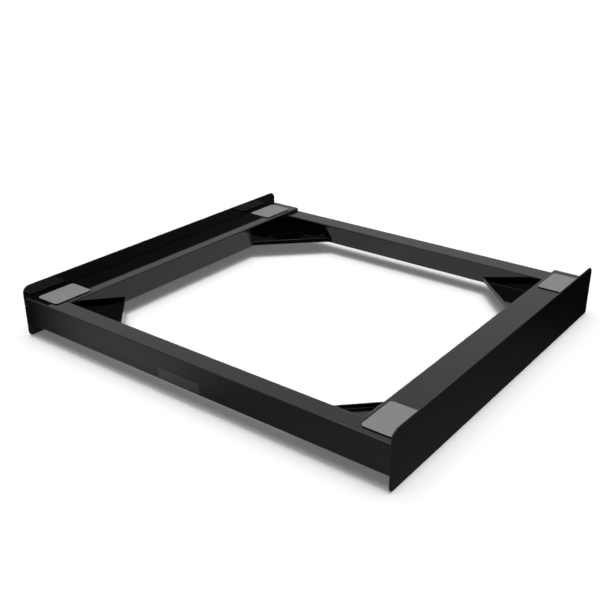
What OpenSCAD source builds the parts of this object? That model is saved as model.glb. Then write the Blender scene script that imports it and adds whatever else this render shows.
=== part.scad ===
// Stacking kit that joins a tumble dryer to the washing machine under it.
// A square frame of folded sheet steel. Two tall side plates reach up past the dryer's sides and
// down past the washer's sides, four open channel rails join them, and a folded corner tray ties
// each pair of rails. Grey pads on top hold the dryer, and rubber pads below rest on the washer.
// Origin: centre of the frame on the floor plane. +X is right, -Y is the front, +Z is up.

/* [Machines] */
// Width of the two machines
machine_w = 600; // [560:1:700]
// Gap between a machine and each side plate
side_clear = 1; // [0.5:0.25:3]
// Depth of the frame from front to back
frame_d = 555; // [480:1:640]

/* [Side plates] */
// Thickness of a side plate
plate_t = 2; // [1.5:0.25:3]
// How far a side plate reaches below the rails
plate_drop = 20; // [16:1:30]
// How far a side plate stands above the rails
plate_rise = 20; // [15:1:30]
// Radius of the two top corners
plate_top_r = 11; // [4:1:15]
// Radius of the two bottom corners
plate_foot_r = 7; // [2:0.5:8]

/* [Rails] */
// Height of the front and side rails
rail_h = 36; // [32:1:50]
// Width of a side rail
side_rail_w = 56; // [53:1:64]
// Depth of the front rail
front_rail_d = 33.5; // [31:0.5:44]
// Height of the upturned edge along the front rail's top
front_edge_h = 4.5; // [2:0.5:6]
// Depth of the back rail
back_rail_d = 33.5; // [28:0.5:44]
// How far the back rail's top lies below the side rails' tops
back_step = 5; // [2:0.5:8]
// How far the front rail's face stands back from the side plates' front edges
front_inset = 1; // [0.7:0.1:3]
// Thickness of the folded sheet
sheet_t = 1.5; // [1:0.1:1.8]
// Outer radius of a fold
fold_r = 2; // [1.9:0.1:2.5]
// Width of the flanges folded in under a rail
return_w = 12; // [11.5:0.5:13]

/* [Corner trays] */
// Length of a tray's leg along a rail
tray_leg = 98; // [92:1:140]
// Thickness of a tray's sheet
tray_t = 2.5; // [1.5:0.25:3]
// Height of the lip along a tray's open edge, with its floor
lip_h = 8; // [5:0.5:14]
// Width of the tongue that passes through a slot in the rail
tongue_w = 44; // [38:1:48]
// Distance from a leg's end to its tongue
tongue_end = 6; // [4:1:12]
// Distance between the two screws in a tongue
screw_pitch = 26; // [16:1:30]
// Clearance of a tray against the rails and of a tongue in its slot
fit_clear = 0.2; // [0.1:0.05:0.4]

/* [Pads] */
// Width of a pad, across the side rail
pad_w = 41; // [30:1:43]
// Length of a pad, along the side rail
pad_l = 62; // [40:1:70]
// Corner radius of a pad
pad_r = 5; // [1:0.5:6]
// Distance from a side plate to the pad
pad_side = 7.5; // [6:0.5:8]
// Distance from the frame's front or back edge to the pad
pad_end = 16.5; // [15:0.5:20]
// Thickness of a top pad's grey face
pad_face_t = 0.6; // [0.4:0.1:2]
// Thickness of a top pad's black backing
pad_back_t = 0.9; // [0.5:0.1:2]
// Thickness of a rubber pad under the frame
foot_pad_t = 4; // [3:0.5:6]

/* [Fasteners] */
// Diameter of a tray screw
screw_d = 4; // [3:0.5:4]
// Length of a tray screw under its head
screw_l = 8; // [7:0.5:12]
// Diameter of a tray screw's head
screw_head_d = 7.6; // [6.5:0.1:8]
// Height of a tray screw's head
screw_head_h = 2.4; // [1.5:0.1:2.8]
// Width across the flats of a tray screw's nut
screw_nut_af = 7; // [6.5:0.1:7.2]
// Height of a tray screw's nut
screw_nut_h = 3.2; // [2:0.1:4]
// Diameter of a weld stud
stud_d = 5; // [4:0.5:6]
// Length of a weld stud
stud_l = 12; // [9:0.5:16]
// Diameter of a weld stud's foot
stud_foot_d = 6.4; // [6.2:0.1:7]
// Height of a weld stud's foot
stud_foot_h = 0.8; // [0.4:0.1:0.9]
// Width across the flats of a flange nut
flange_nut_af = 8; // [7.5:0.1:10]
// Height of a flange nut
flange_nut_h = 5; // [4:0.5:6]
// Diameter of a flange nut's collar
collar_d = 11.5; // [11:0.5:14]
// Thickness of a flange nut's collar
collar_t = 1; // [0.5:0.1:2]
// Number of weld studs along a side rail
stud_n = 4; // [2:1:6]
// Distance from a side rail's end to its first weld stud
stud_end = 70; // [40:1:120]

/* [End pieces] */
// Width of the angle bracket in each end of the front rail
bracket_w = 19; // [16:0.5:20]
// Length of the bracket's two legs
bracket_leg = 27; // [24:0.5:28]
// Thickness of a rail cap's face
cap_t = 2; // [1:0.25:4]
// Depth of a rail cap's plug inside the rail
plug_d = 10; // [6:1:20]
// Wall of a rail cap's plug
plug_wall = 2; // [1.2:0.1:3]

/* [Name plate] */
// Width of the blank name plate
badge_w = 72; // [40:1:120]
// Height of the blank name plate
badge_h = 15; // [8:0.5:18]
// Thickness of the blank name plate
badge_t = 0.6; // [0.3:0.1:0.7]
// Corner radius of the blank name plate
badge_r = 2; // [0.5:0.5:3.5]
// Distance from the front rail's bottom edge to the name plate
badge_up = 3; // [2.5:0.5:5]
// Sideways offset of the name plate from the middle
badge_x = -3; // [-100:1:100]

/* [Hidden] */

// Smoothness of round fasteners and pad corners
round_fn = 48;
// Play around a screw or stud in its hole, and inside its nut
hole_play = 0.2;
nut_play = 0.05;
// How far a cutting shape runs past the surface that it cuts
over = 1;
// Steps in a fold and in a side plate's top corner
fold_steps = 6;
round_steps = 16;

inner_half = machine_w / 2 + side_clear;
plate_h = plate_drop + rail_h + plate_rise;
rail_z0 = plate_drop;
rail_top = rail_z0 + rail_h;
front_face = -frame_d / 2 + front_inset;
corner_x = inner_half - side_rail_w;
corner_front = front_face + front_rail_d;
corner_back = frame_d / 2 - back_rail_d;
side_rail_end = frame_d / 2 - cap_t;
side_rail_len = side_rail_end - corner_front;
tray_z = rail_z0 + sheet_t;
tray_floor_top = tray_z + tray_t;
tongue_mid = tray_leg - tongue_end - tongue_w / 2;
tongue_in = return_w - 2 * fit_clear;
screw_in = (sheet_t + return_w) / 2;
stud_z = rail_z0 + rail_h / 2;
stud_gap = (side_rail_len - 2 * stud_end) / (stud_n - 1);
bracket_y0 = front_face + (front_rail_d - bracket_w) / 2;
badge_z = rail_z0 + badge_up + badge_h / 2;

// Points of an arc about [cx, cy] from angle a0 to a1
function arc(cx, cy, r, a0, a1, steps) =
    [for (i = [0:steps]) let (a = a0 + (a1 - a0) * i / steps) [cx + r * cos(a), cy + r * sin(a)]];

// Section of an open channel: x runs from its outer wall to its inner wall, y runs up.
// Where edge_h isn't zero, the outer wall goes on past the top and is folded back on itself.
module channel_section(w, h, edge_h) {
    s = fold_steps;
    plain_edge = arc(fold_r, h - fold_r, fold_r, 180, 90, s);
    turned_edge = concat(arc(sheet_t, h + edge_h - sheet_t, sheet_t, 180, 0, 2 * s), [[2 * sheet_t, h]]);
    outer = concat(
        [[return_w, 0]],
        arc(fold_r, fold_r, fold_r, 270, 180, s),
        edge_h > 0 ? turned_edge : plain_edge,
        arc(w - fold_r, h - fold_r, fold_r, 90, 0, s),
        arc(w - fold_r, fold_r, fold_r, 0, -90, s),
        [[w - return_w, 0]]);
    inner = concat(
        [[w - return_w, sheet_t]],
        arc(w - fold_r, fold_r, fold_r - sheet_t, -90, 0, s),
        arc(w - fold_r, h - fold_r, fold_r - sheet_t, 0, 90, s),
        arc(fold_r, h - fold_r, fold_r - sheet_t, 90, 180, s),
        arc(fold_r, fold_r, fold_r - sheet_t, 180, 270, s),
        [[return_w, sheet_t]]);
    polygon(concat(outer, inner));
}

// Flat sheet with round corners, centred on the origin
module round_sheet(w, l, r, t) {
    linear_extrude(t) {
        square([w - 2 * r, l], center = true);
        square([w, l - 2 * r], center = true);
        for (sx = [-1, 1], sy = [-1, 1])
            translate([sx * (w / 2 - r), sy * (l / 2 - r)])
                circle(r, $fn = round_fn);
    }
}

// A hexagonal nut standing on the origin, with its bore along Z
module hex_nut(af, h, bore_d) {
    difference() {
        cylinder(d = af / cos(30), h = h, $fn = 6);
        translate([0, 0, -over])
            cylinder(d = bore_d, h = h + 2 * over, $fn = round_fn);
    }
}

// Repeats a child for the left (-1) and right (+1) side
module both_sides() {
    for (side = [-1, 1])
        on_side(side) children();
}

// Mirrors a child drawn for the right side when side is -1
module on_side(side) {
    if (side < 0)
        mirror([1, 0, 0]) children();
    else
        children();
}

// Puts a child drawn for an inner corner, legs along +X and +Y, at a corner of the frame
module at_corner(side, end) {
    on_side(side)
        translate([corner_x, end < 0 ? corner_front : corner_back, 0])
            mirror([1, 0, 0])
                mirror([0, end < 0 ? 0 : 1, 0])
                    children();
}

// The two screw places of the tongue on the leg along +X, which passes through the wall at y = 0
module screw_places() {
    for (s = [-1, 1])
        translate([tongue_mid + s * screw_pitch / 2, -screw_in, 0])
            children();
}

// Repeats a child drawn on the leg along +X on both legs of a corner
module both_legs() {
    children();
    mirror([1, -1, 0]) children();
}

// Slot and screw holes that one leg of a tray needs in the rail beside it
module leg_cuts() {
    slot_l = tongue_w + 2 * fit_clear;
    translate([tongue_mid - slot_l / 2, -sheet_t - fit_clear, tray_z])
        cube([slot_l, sheet_t + 2 * fit_clear, tray_t + fit_clear]);
    screw_places()
        translate([0, 0, rail_z0 - over])
            cylinder(d = screw_d + 2 * hole_play, h = sheet_t + over + fit_clear, $fn = round_fn);
}

// Cuts in a rail for the trays at both ends or sides of the frame
module tray_cuts() {
    for (side = [-1, 1], end = [-1, 1])
        at_corner(side, end)
            both_legs() leg_cuts();
}

// Side plate: tall flat sheet with two large top corners and two small bottom corners
module side_plate(side) {
    low = plate_foot_r;
    top = plate_top_r;
    half = frame_d / 2;
    outline = concat(
        arc(-half + low, low, low, 270, 180, fold_steps),
        arc(-half + top, plate_h - top, top, 180, 90, round_steps),
        arc(half - top, plate_h - top, top, 90, 0, round_steps),
        arc(half - low, low, low, 0, -90, fold_steps));
    on_side(side)
        translate([inner_half, 0, 0])
            rotate([90, 0, 90])
                linear_extrude(plate_t)
                    polygon(outline);
}

// Holes in a side rail's outer wall for the feet of the weld studs
module stud_holes() {
    for (i = [0:stud_n - 1])
        translate([inner_half - sheet_t - over, corner_front + stud_end + i * stud_gap, stud_z])
            rotate([0, 90, 0])
                cylinder(d = stud_foot_d + 2 * hole_play, h = sheet_t + 2 * over, $fn = round_fn);
}

module side_rail(side) {
    difference() {
        on_side(side)
            difference() {
                translate([inner_half, side_rail_end, rail_z0])
                    mirror([1, 0, 0])
                        rotate([90, 0, 0])
                            linear_extrude(side_rail_len)
                                channel_section(side_rail_w, rail_h, 0);
                stud_holes();
            }
        tray_cuts();
    }
}

module front_rail() {
    color("black")
        difference() {
            translate([-inner_half, front_face, rail_z0])
                rotate([90, 0, 90])
                    linear_extrude(2 * inner_half)
                        channel_section(front_rail_d, rail_h, front_edge_h);
            tray_cuts();
        }
}

module back_rail() {
    color("black")
        difference() {
            translate([-corner_x, frame_d / 2, rail_z0])
                mirror([0, 1, 0])
                    rotate([90, 0, 90])
                        linear_extrude(2 * corner_x)
                            channel_section(back_rail_d, rail_h - back_step, 0);
            tray_cuts();
        }
}

// Tongue of the leg along +X, lying on the rail's folded-in flange
module tongue() {
    difference() {
        translate([tongue_mid - tongue_w / 2, -tongue_in, 0])
            cube([tongue_w, tongue_in + 2 * fit_clear, tray_t]);
        screw_places()
            translate([0, 0, -over])
                cylinder(d = screw_d + 2 * hole_play, h = tray_t + 2 * over, $fn = round_fn);
    }
}

// Corner tray: flat floor, a lip folded up along the open edge, and two tongues
module corner_tray(side, end) {
    near = fit_clear;
    far = tray_leg;
    lip_back = sheet_t * sqrt(2);
    color("black")
        at_corner(side, end)
            translate([0, 0, tray_z]) {
                linear_extrude(tray_t)
                    polygon([[near, near], [far, near], [near, far]]);
                linear_extrude(lip_h)
                    polygon([[far - lip_back, near], [far, near], [near, far], [near, far - lip_back]]);
                both_legs() tongue();
            }
}

// Puts a child at the middle of a pad, above or below a corner of the frame
module at_pad(side, end) {
    translate([side * (inner_half - pad_side - pad_w / 2),
               end * (frame_d / 2 - pad_end - pad_l / 2), 0])
        children();
}

module top_pad(side, end) {
    color("gray")
        at_pad(side, end)
            translate([0, 0, rail_top + pad_back_t])
                round_sheet(pad_w, pad_l, pad_r, pad_face_t);
}

module pad_backing(side, end) {
    color("dimgray")
        at_pad(side, end)
            translate([0, 0, rail_top])
                round_sheet(pad_w, pad_l, pad_r, pad_back_t);
}

module foot_pad(side, end) {
    color("darkslategray")
        at_pad(side, end)
            translate([0, 0, rail_z0 - foot_pad_t])
                round_sheet(pad_w, pad_l, pad_r, foot_pad_t);
}

// Places of the weld studs on the right plate: along the side rail, and one in the front rail
module stud_places() {
    for (i = [0:stud_n - 1])
        translate([inner_half, corner_front + stud_end + i * stud_gap, stud_z])
            rotate([0, -90, 0]) children();
    translate([inner_half, bracket_y0 + bracket_w / 2, stud_z])
        rotate([0, -90, 0]) children();
}

module weld_studs() {
    color("peru")
        both_sides()
            stud_places() {
                cylinder(d = stud_d, h = stud_l, $fn = round_fn);
                cylinder(d = stud_foot_d, h = stud_foot_h, $fn = round_fn);
            }
}

module flange_nuts() {
    color("silver")
        both_sides()
            stud_places()
                translate([0, 0, sheet_t]) {
                    hex_nut(flange_nut_af, flange_nut_h, stud_d + 2 * nut_play);
                    difference() {
                        cylinder(d = collar_d, h = collar_t, $fn = round_fn);
                        translate([0, 0, -over])
                            cylinder(d = stud_d + 2 * nut_play, h = collar_t + 2 * over, $fn = round_fn);
                    }
                }
}

module tray_screws() {
    color("silver")
        for (side = [-1, 1], end = [-1, 1])
            at_corner(side, end)
                both_legs()
                    screw_places()
                        translate([0, 0, rail_z0 - screw_head_h]) {
                            cylinder(d = screw_head_d, h = screw_head_h, $fn = round_fn);
                            cylinder(d = screw_d, h = screw_head_h + screw_l, $fn = round_fn);
                        }
}

module tray_nuts() {
    color("silver")
        for (side = [-1, 1], end = [-1, 1])
            at_corner(side, end)
                both_legs()
                    screw_places()
                        translate([0, 0, tray_floor_top])
                            rotate([0, 0, 30])
                                hex_nut(screw_nut_af, screw_nut_h, screw_d + 2 * nut_play);
}

// Angle bracket that holds an end of the front rail to the side plate
module end_bracket(side) {
    under_top = rail_top - sheet_t;
    color("dimgray")
        on_side(side)
            difference() {
                union() {
                    translate([inner_half - sheet_t, bracket_y0, under_top - bracket_leg])
                        cube([sheet_t, bracket_w, bracket_leg]);
                    translate([inner_half - bracket_leg, bracket_y0, under_top - sheet_t])
                        cube([bracket_leg, bracket_w, sheet_t]);
                }
                translate([inner_half - sheet_t - over, bracket_y0 + bracket_w / 2, stud_z])
                    rotate([0, 90, 0])
                        cylinder(d = stud_foot_d + 2 * hole_play, h = sheet_t + 2 * over, $fn = round_fn);
            }
}

// Plastic cap that closes the open back end of a side rail
module rail_cap(side) {
    play = sheet_t + fit_clear;
    plug_w = side_rail_w - 2 * play;
    plug_h = rail_h - 2 * play;
    face = concat(
        arc(fold_r, fold_r, fold_r, 270, 180, fold_steps),
        arc(fold_r, rail_h - fold_r, fold_r, 180, 90, fold_steps),
        arc(side_rail_w - fold_r, rail_h - fold_r, fold_r, 90, 0, fold_steps),
        arc(side_rail_w - fold_r, fold_r, fold_r, 0, -90, fold_steps));
    color("black")
        on_side(side)
            translate([corner_x, frame_d / 2, rail_z0]) {
                rotate([90, 0, 0])
                    linear_extrude(cap_t)
                        polygon(face);
                difference() {
                    translate([play, -cap_t - plug_d, play])
                        cube([plug_w, plug_d, plug_h]);
                    translate([play + plug_wall, -cap_t - plug_d - over, play + plug_wall])
                        cube([plug_w - 2 * plug_wall, plug_d + over, plug_h - 2 * plug_wall]);
                }
            }
}

// Blank name plate stuck to the front rail
module name_plate() {
    color("dimgray")
        translate([badge_x, front_face, badge_z])
            rotate([90, 0, 0])
                round_sheet(badge_w, badge_h, badge_r, badge_t);
}

color("black") side_plate(-1);  // left_side_plate
color("black") side_plate(1);  // right_side_plate
front_rail();
back_rail();
color("black") side_rail(-1);  // left_side_rail
color("black") side_rail(1);  // right_side_rail
corner_tray(-1, -1);  // tray_front_left
corner_tray(1, -1);  // tray_front_right
corner_tray(-1, 1);  // tray_back_left
corner_tray(1, 1);  // tray_back_right
top_pad(-1, -1);  // top_pad_front_left
top_pad(1, -1);  // top_pad_front_right
top_pad(-1, 1);  // top_pad_back_left
top_pad(1, 1);  // top_pad_back_right
pad_backing(-1, -1);  // backing_front_left
pad_backing(1, -1);  // backing_front_right
pad_backing(-1, 1);  // backing_back_left
pad_backing(1, 1);  // backing_back_right
foot_pad(-1, -1);  // foot_pad_front_left
foot_pad(1, -1);  // foot_pad_front_right
foot_pad(-1, 1);  // foot_pad_back_left
foot_pad(1, 1);  // foot_pad_back_right
end_bracket(-1);  // left_end_bracket
end_bracket(1);  // right_end_bracket
rail_cap(-1);  // left_rail_cap
rail_cap(1);  // right_rail_cap
weld_studs();
flange_nuts();
tray_screws();
tray_nuts();
name_plate();
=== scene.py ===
"""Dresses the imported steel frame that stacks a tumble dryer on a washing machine.

Every steel part is folded or cut sheet with a powder-coated, mirror-like black finish. Rubber pads,
plastic caps, plated fasteners and a blank name plate complete it. All sizes are in metres, and the
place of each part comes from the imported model.
"""
import math

import bmesh
import bpy
from bpy.props import FloatProperty, FloatVectorProperty, IntProperty, PointerProperty
from mathutils import Matrix, Vector


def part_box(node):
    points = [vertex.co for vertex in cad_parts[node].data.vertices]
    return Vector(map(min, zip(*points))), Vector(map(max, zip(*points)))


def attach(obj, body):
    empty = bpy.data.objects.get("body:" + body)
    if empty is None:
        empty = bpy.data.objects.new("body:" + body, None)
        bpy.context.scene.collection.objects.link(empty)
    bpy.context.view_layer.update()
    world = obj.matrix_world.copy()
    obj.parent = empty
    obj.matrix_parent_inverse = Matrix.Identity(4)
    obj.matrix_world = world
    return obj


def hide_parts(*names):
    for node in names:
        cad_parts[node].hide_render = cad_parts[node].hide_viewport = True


bl_info = {
    "name": "Appliance Stacking Frame",
    "version": (1, 0, 0),
    "blender": (4, 5, 0),
    "location": "3D View > Sidebar > Stacking Frame",
    "description": "Builds a gloss black frame that stacks a dryer on a washing machine",
    "category": "Object",
}

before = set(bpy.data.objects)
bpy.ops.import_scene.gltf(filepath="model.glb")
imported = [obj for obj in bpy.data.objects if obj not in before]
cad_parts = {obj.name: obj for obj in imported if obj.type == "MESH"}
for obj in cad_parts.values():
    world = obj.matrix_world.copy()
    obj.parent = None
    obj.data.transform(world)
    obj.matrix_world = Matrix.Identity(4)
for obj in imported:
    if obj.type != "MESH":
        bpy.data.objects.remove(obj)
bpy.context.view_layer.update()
BODY = "root"
SIDES = (("left", -1), ("right", 1))
CORNERS = [(f"{end}_{side}", x, y) for side, x in SIDES for end, y in (("front", -1), ("back", 1))]

PLATE_LOW, PLATE_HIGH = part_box("right_side_plate")
FRONT_LOW, FRONT_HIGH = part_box("front_rail")
BACK_LOW, BACK_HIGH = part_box("back_rail")
SIDE_LOW, SIDE_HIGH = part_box("right_side_rail")
TRAY_LOW, TRAY_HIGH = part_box("tray_back_right")
CAP_LOW, CAP_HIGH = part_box("right_rail_cap")
BRACKET_LOW, BRACKET_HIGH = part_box("right_end_bracket")
BADGE_LOW, BADGE_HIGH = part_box("name_plate")

MM = 0.001
X_AXIS = Vector((1, 0, 0))
Z_AXIS = Vector((0, 0, 1))
SHARP_ANGLE = math.radians(38)
FOLD_STEPS = 8
CORNER_STEPS = 12
PLATE_STEPS = 20
TURNED_SEGMENTS = 36
HOLE_SEGMENTS = 32
STUD_SEGMENTS = 48
FOAM_EDGE = 0.1 * MM
BADGE_EDGE = 0.12 * MM
PLUG_EDGE = 0.3 * MM
BORE_CHAMFER = 0.35 * MM
STUD_CLEARANCE = 0.2 * MM
STUD_HOLE_DEPTH = 4 * MM
LENS, SENSOR = 50, 36
# Shares of a thread's pitch: its depth, the places of a crest and a root, and the chamfered tip
THREAD_DEPTH, THREAD_CREST, THREAD_ROOT, THREAD_TIP = 0.45, 0.3, 0.8, 0.6
FLOOR_REACH = 6
CARD_REACH = 1.6
CARD_HEIGHT = 0.5 * MM
# Distances from a card's back edge between which its painted reflection darkens
DIM_FROM, DIM_TO = 45 * MM, 10 * MM
LIP_GAP = 0.7 * MM


def factor(name, description, default, **options):
    """A plain number."""
    return FloatProperty(name=name, description=description, default=default, **options)


def length(name, description, millimetres):
    """A size, given in millimetres and kept in metres."""
    return factor(name, description, millimetres * MM, unit="LENGTH", precision=5)


def angle(name, description, degrees):
    """An angle, given in degrees."""
    return factor(name, description, math.radians(degrees), subtype="ANGLE", unit="ROTATION")


def colour(name, description, *default):
    """A linear colour without alpha."""
    return FloatVectorProperty(
        name=name, description=description, default=default, subtype="COLOR", size=3, min=0, max=1)


class SheetSizes(bpy.types.PropertyGroup):
    """Sizes of the folded steel parts."""

    sheet: length("Sheet", "Thickness of the folded sheet", 1.5)
    fold: length("Fold radius", "Outer radius of a fold", 2)
    upturn: length("Upturned edge", "Height of the front rail's edge", 4.5)
    flange: length("Flange", "Width of a rail's flanges", 12)
    side_lean: length("Side rail lean", "Spring-back of its inner wall", 0.7)
    back_lean: length("Back rail lean", "Spring-back of its inner wall", 1)
    coat: length("Coating fillet", "Radius of the coating in a seam", 0.3)
    edge: length("Edge rounding", "Rounding of a cut edge", 0.25)
    plate_edge: length("Plate edge rounding", "Rounding of a side plate's edges", 0.9)
    plate_top: length("Plate top corner", "Radius of a plate's top corners", 11)
    plate_foot: length("Plate bottom corner", "Radius of its front bottom corner", 7)
    plate_heel: length("Plate back corner", "Radius of its back bottom corner", 3.5)
    fit: length("Fit clearance", "Clearance of a tray in its rails", 0.2)
    tray_leg: length("Tray leg", "Length of a tray's leg", 98)
    tray: length("Tray sheet", "Thickness of a tray", 2.5)
    tongue: length("Tongue width", "Width of a tray's tongue", 44)
    tongue_end: length("Tongue end", "Distance from a leg's end to its tongue", 6)
    screw_pitch: length("Screw pitch", "Distance between the screws in a tongue", 26)


class FastenerSizes(bpy.types.PropertyGroup):
    """Sizes of the screws, nuts and weld studs."""

    screw: length("Screw", "Diameter of a tray screw", 4)
    screw_length: length("Screw length", "Length of a screw under its head", 8)
    head: length("Head", "Diameter of a screw's head", 7.6)
    head_height: length("Head height", "Height of a screw's head", 2.4)
    socket: length("Socket", "Width across flats of a head's socket", 2.5)
    screw_thread: length("Screw thread", "Pitch of a screw's thread", 0.7)
    nut: length("Nut", "Width across flats of a tray nut", 7)
    nut_height: length("Nut height", "Height of a tray nut", 3.2)
    stud: length("Stud", "Diameter of a weld stud", 5)
    stud_length: length("Stud length", "Length of a weld stud", 12)
    stud_foot: length("Stud foot", "Diameter of a stud's foot", 6.4)
    stud_foot_height: length("Stud foot height", "Height of a stud's foot", 0.8)
    stud_thread: length("Stud thread", "Pitch of a stud's thread", 0.8)
    stud_end: length("Stud end", "Distance from a rail's end to a stud", 70)
    stud_count: IntProperty(
        name="Studs", description="Weld studs along a side rail", default=4, min=2, max=8)
    flange_nut: length("Flange nut", "Width across flats of a flange nut", 8)
    flange_nut_height: length("Flange nut height", "Height of a flange nut", 5)
    collar: length("Collar", "Diameter of a nut's collar", 11.5)
    collar_height: length("Collar height", "Height of a nut's collar", 1)
    play: length("Thread play", "Clearance of a thread in its nut", 0.05)


class PadSizes(bpy.types.PropertyGroup):
    """Sizes of the pads, caps and the name plate."""

    corner: length("Pad corner", "Corner radius of a pad", 5)
    face_edge: length("Face edge", "Rounding of a grey face's edge", 0.25)
    foot_edge: length("Foot edge", "Rounding of a foot pad's edge", 0.8)
    groove: length("Groove", "Width of a groove under a foot pad", 1.6)
    groove_depth: length("Groove depth", "Depth of a groove under a foot pad", 0.8)
    groove_count: IntProperty(
        name="Grooves", description="Grooves under a foot pad", default=7, min=1, max=15)
    cap_face: length("Cap face", "Thickness of a rail cap's face", 2)
    cap_edge: length("Cap edge", "Rounding of a rail cap's face", 0.7)
    plug_wall: length("Plug wall", "Wall of a rail cap's plug", 2)
    badge_corner: length("Name plate corner", "Corner radius of the name plate", 2)
    badge_rim: length("Name plate rim", "Width of its raised rim", 0.8)


class Finishes(bpy.types.PropertyGroup):
    """Colours and gloss of the materials."""

    paint: colour("Paint", "Colour of the coating", 0.001, 0.001, 0.001)
    paint_roughness: factor("Paint roughness", "Roughness of the coating", 0.05, min=0, max=1)
    paint_ior: factor("Paint IOR", "Refractive index of the coating", 1.45, min=1, max=2)
    grip: colour("Grip", "Colour of the grey grip face", 0.214, 0.214, 0.216)
    foam: colour("Foam", "Colour of the adhesive foam", 0.012, 0.012, 0.012)
    rubber: colour("Rubber", "Colour of the foot rubber", 0.022, 0.022, 0.022)
    zinc: colour("Zinc", "Colour of the zinc plating", 0.6, 0.61, 0.6)
    copper: colour("Copper", "Colour of the copper flash", 0.62, 0.34, 0.22)
    plastic: colour("Plastic", "Colour of the black plastic", 0.008, 0.008, 0.008)
    badge: colour("Name plate", "Colour of the blank name plate", 0.02, 0.02, 0.021)


class StudioSettings(bpy.types.PropertyGroup):
    """Camera and light."""

    azimuth: angle("Azimuth", "Camera's angle round the frame", 37.08)
    elevation: angle("Elevation", "Camera's angle above the floor", 24.98)
    distance: length("Distance", "Camera's distance from its target", 1338)
    target: FloatVectorProperty(
        name="Target", description="Point that the camera looks at",
        default=(-0.06, 0.06075, -0.013), size=3, unit="LENGTH")
    key: factor("Key light", "Strength of the overhead light", 1.0, min=0)
    key_angle: angle("Key size", "Angle that the overhead light fills", 16)
    soft: factor("Soft light", "Strength of the wide light overhead", 1.72, min=0)
    soft_angle: angle("Soft size", "Angle that the wide light fills", 60)
    fill: factor("Fill light", "Strength of the light all round", 0.12, min=0)
    sky_low: factor("Sky low", "Wall's brightness at the horizon", 0.35, min=0)
    sky_rise: factor("Sky rise", "Gain of the wall's brightness overhead", 0.69)
    floor: colour("Floor", "Colour of the floor", 0.93, 0.93, 0.93)
    floor_glow: factor("Floor glow", "Light that the floor gives off", 0.12, min=0)


def group(name):
    """The scene's settings group of that name."""
    return getattr(bpy.context.scene, f"stacking_{name}")


def assign(target, **values):
    """Sets attributes of a thing and hands it back."""
    for name, value in values.items():
        setattr(target, name, value)
    return target


def made_once(store, build):
    """The material or node group of that builder, built the first time it is asked for."""
    return store.get(build.__name__) or build(build.__name__)


# Mesh helpers

def arc(cx, cy, radius, start, stop, steps=FOLD_STEPS):
    """Points along an arc, in degrees from start to stop."""
    turn = [math.radians(start + (stop - start) * i / steps) for i in range(steps + 1)]
    return [(cx + radius * math.cos(a), cy + radius * math.sin(a)) for a in turn]


def rounded_outline(low, high, corners, steps):
    """Rectangle whose corners have radii, given clockwise from the one at its low point."""
    (x0, y0), (x1, y1) = low, high
    a, b, c, d = corners
    return (arc(x0 + a, y0 + a, a, 270, 180, steps) + arc(x0 + b, y1 - b, b, 180, 90, steps)
            + arc(x1 - c, y1 - c, c, 90, 0, steps) + arc(x1 - d, y0 + d, d, 0, -90, steps))


def new_object(name, data):
    """Puts an object in the scene."""
    made = bpy.data.objects.new(name, data)
    bpy.context.scene.collection.objects.link(made)
    return made


def as_object(name, bm):
    """Turns a bmesh into an object."""
    mesh = bpy.data.meshes.new(name)
    bm.to_mesh(mesh)
    bm.free()
    return new_object(name, mesh)


def body(name, bm):
    """Turns a bmesh into an object whose faces point outwards."""
    bmesh.ops.recalc_face_normals(bm, faces=bm.faces)
    return as_object(name, bm)


def point_object(name, points, faces=()):
    """Object made of bare points, or of faces between them."""
    mesh = bpy.data.meshes.new(name)
    mesh.from_pydata(points, [], faces)
    return new_object(name, mesh)


def joined(name, things):
    """One object made of several meshes."""
    bm = bmesh.new()
    for thing in things:
        bm.from_mesh(thing.data)
        bpy.data.objects.remove(thing)
    return as_object(name, bm)


def strip(bm, low, high):
    """Joins two rings of vertices by a band of faces."""
    for i in range(len(low)):
        j = (i + 1) % len(low)
        bm.faces.new((low[i], low[j], high[j], high[i]))


def hoops(name, rings, closed=False):
    """Body through rings of points. A closed one joins its last ring to its first."""
    bm = bmesh.new()
    made = [[bm.verts.new(point) for point in ring] for ring in rings]
    if closed:
        strip(bm, made[-1], made[0])
    else:
        bm.faces.new(made[0])
        bm.faces.new(made[-1])
    for low, high in zip(made, made[1:]):
        strip(bm, low, high)
    return body(name, bm)


def slab(name, outline, place, near, far):
    """Closed plate between two depths. place turns (u, v, depth) into a point."""
    return hoops(name, [[place(u, v, depth) for u, v in outline] for depth in (near, far)])


def folded_sheet(name, outer, inner, place, near, far):
    """Sheet of even thickness, given by its two skins, run from one depth to another."""
    bm = bmesh.new()
    ends = []
    for depth in (near, far):
        first, second = [[bm.verts.new(place(u, v, depth)) for u, v in skin]
                         for skin in (outer, inner)]
        for i in range(len(first) - 1):
            bm.faces.new((first[i], first[i + 1], second[i + 1], second[i]))
        ends.append(first + second[::-1])
    strip(bm, *ends)
    return body(name, bm)


def turned(name, rings, segments=TURNED_SEGMENTS, closed=False):
    """Turned body from (radius, height) rings, where a radius is a number or a function of angle."""
    turns = [math.tau * i / segments for i in range(segments)]
    hoop_points = []
    for radius, height in rings:
        reach = [radius(a) if callable(radius) else radius for a in turns]
        hoop_points.append([(r * math.cos(a), r * math.sin(a), height) for r, a in zip(reach, turns)])
    return hoops(name, hoop_points, closed)


def hexagon(across, limit=math.inf):
    """Radius of a hexagon at an angle, cut off by a circle."""
    def radius(angle):
        turn = (angle + math.pi / 6) % (math.pi / 3) - math.pi / 6
        return min(across / 2 / math.cos(turn), limit)
    return radius


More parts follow.
